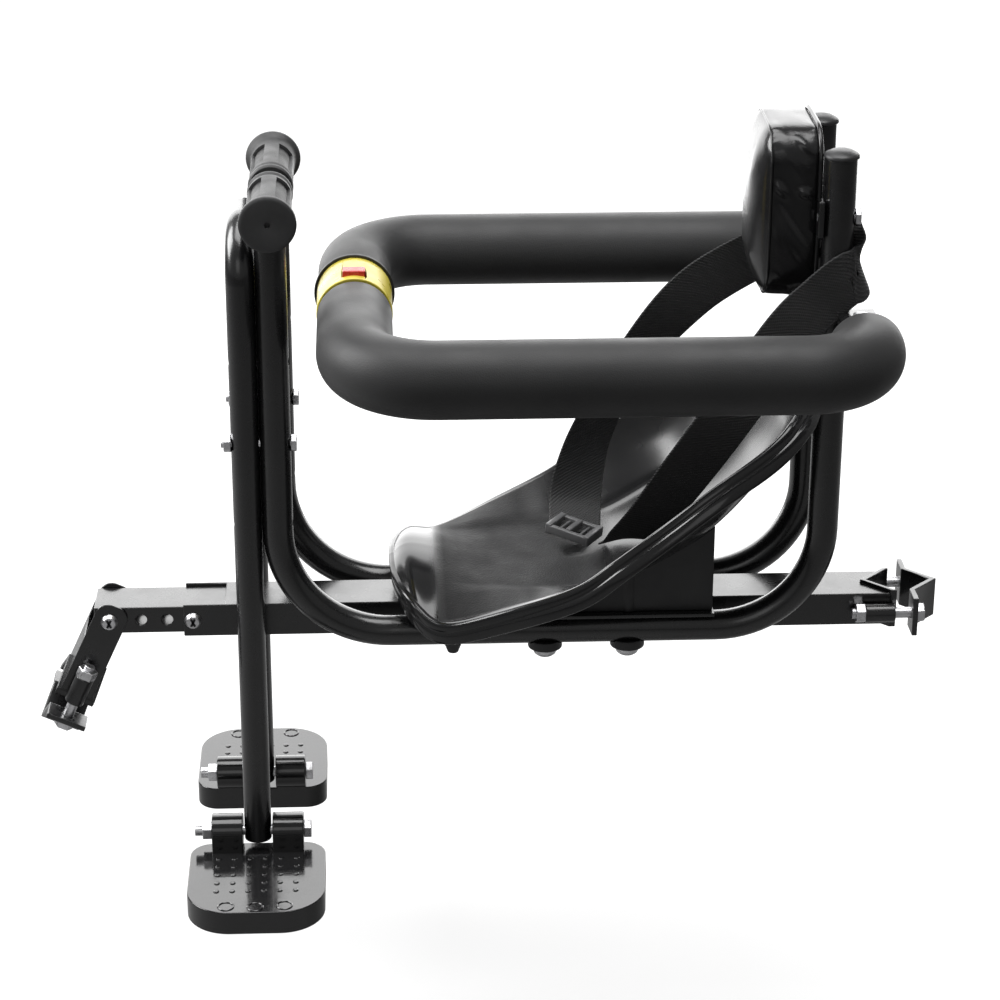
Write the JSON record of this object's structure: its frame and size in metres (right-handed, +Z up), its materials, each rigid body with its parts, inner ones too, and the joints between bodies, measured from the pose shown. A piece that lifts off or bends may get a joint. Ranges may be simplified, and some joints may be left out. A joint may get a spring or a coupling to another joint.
{
  "type": "child bike seat",
  "caption": "Front-mounted child bike seat: beam with clamps, bucket seat, padded guardrail, backrest, handlebar, straps and folding footrests.",
  "frame": {"origin": "axis of the clamped seat post, at the beam's mid height", "axes": "+X to the rear of the bike, +Y to the rider's right, +Z up along the seat post clamp"},
  "size_m": [0.6681, 0.333, 0.563],
  "materials": {
    "black_steel": "gloss black powder coat",
    "zinc_steel": "bright zinc plate",
    "black_rubber": "matte moulded rubber",
    "grey_foam": "matte closed-cell foam",
    "shell_plastic": "grained pan, polished rim",
    "foot_plastic": "gloss moulded plastic",
    "black_plastic": "satin moulded plastic",
    "cover": "glossy coated cover",
    "yellow_plastic": "satin moulded plastic",
    "red_plastic": "satin moulded plastic",
    "webbing": "woven twill webbing"
  },
  "bodies": {
    "frame": {"main_beam": "black_steel", "rear_v_seat": "black_steel", "rear_bushes": "black_steel", "front_extension": "black_steel", "left_frame_tube": "black_steel", "right_frame_tube": "black_steel", "tie_plate": "black_steel", "handlebar": "black_steel", "leg_arch": "black_steel", "rail_brackets": "black_steel", "backrest_board": "black_steel", "rear_jaw_nuts": "zinc_steel", "extension_bolt": "zinc_steel", "extension_nut": "zinc_steel", "arm_pivot_bolt": "zinc_steel", "arm_pivot_nut": "zinc_steel", "leg_bolts": "zinc_steel", "leg_nuts": "zinc_steel", "footrest_pins": "zinc_steel", "footrest_nuts": "zinc_steel", "seat_bolts": "zinc_steel", "backrest_bolts": "zinc_steel", "rail_pins": "zinc_steel", "post_caps": "black_rubber", "left_grip": "black_rubber", "right_grip": "black_rubber", "seat_shell": "shell_plastic", "seat_riser": "black_plastic", "saddle_washers": "black_plastic", "tube_plugs": "black_plastic", "harness_buckle": "black_plastic", "backrest_cushion": "cover", "left_strap": "webbing", "right_strap": "webbing"},
    "rear_jaw": {"rear_jaw": "black_steel", "rear_jaw_bolts": "zinc_steel"},
    "front_arm": {"front_arm": "black_steel", "front_v_seat": "black_steel", "front_bushes": "black_steel", "front_jaw_nuts": "zinc_steel"},
    "front_jaw": {"front_jaw": "black_steel", "front_jaw_bolts": "zinc_steel"},
    "left_footrest": {"left_footrest": "foot_plastic"},
    "right_footrest": {"right_footrest": "foot_plastic"},
    "left_rail": {"left_rail_core": "zinc_steel", "left_rail_foam": "grey_foam", "buckle_tongue": "black_plastic"},
    "right_rail": {"right_rail_core": "zinc_steel", "right_rail_foam": "grey_foam", "buckle_sleeve": "yellow_plastic", "buckle_rim": "black_plastic"},
    "release_button": {"release_button": "red_plastic"}
  },
  "joints": [
    {"name": "left_footrest_fold", "type": "hinge", "parent": "frame", "child": "left_footrest", "pos_m": [-0.4757, -0.045, -0.161], "axis": [-1, 0, 0], "range_deg": [0, 85]},
    {"name": "right_footrest_fold", "type": "hinge", "parent": "frame", "child": "right_footrest", "pos_m": [-0.4757, 0.045, -0.161], "axis": [1, 0, 0], "range_deg": [0, 85]},
    {"name": "left_rail_swing", "type": "hinge", "parent": "frame", "child": "left_rail", "pos_m": [-0.049, -0.07, 0.23], "axis": [0, 0, 1], "range_deg": [0, 65]},
    {"name": "right_rail_swing", "type": "hinge", "parent": "frame", "child": "right_rail", "pos_m": [-0.049, 0.07, 0.23], "axis": [0, 0, -1], "range_deg": [0, 65]},
    {"name": "release_button_press", "type": "slide", "parent": "right_rail", "child": "release_button", "axis": [0, 0, -1], "range_m": [0, 0.0025], "stiffness_N_per_m": 300},
    {"name": "front_arm_tilt", "type": "hinge", "parent": "frame", "child": "front_arm", "pos_m": [-0.58, 0, 0], "axis": [0, 1, 0], "range_deg": [-33, 42]},
    {"name": "rear_jaw_slide", "type": "slide", "parent": "frame", "child": "rear_jaw", "axis": [1, 0, 0], "range_m": [-0.0044, 0.003]},
    {"name": "front_jaw_slide", "type": "slide", "parent": "front_arm", "child": "front_jaw", "axis": [-0.4226, 0, -0.9063], "range_m": [-0.0044, 0.003]}
  ]
}
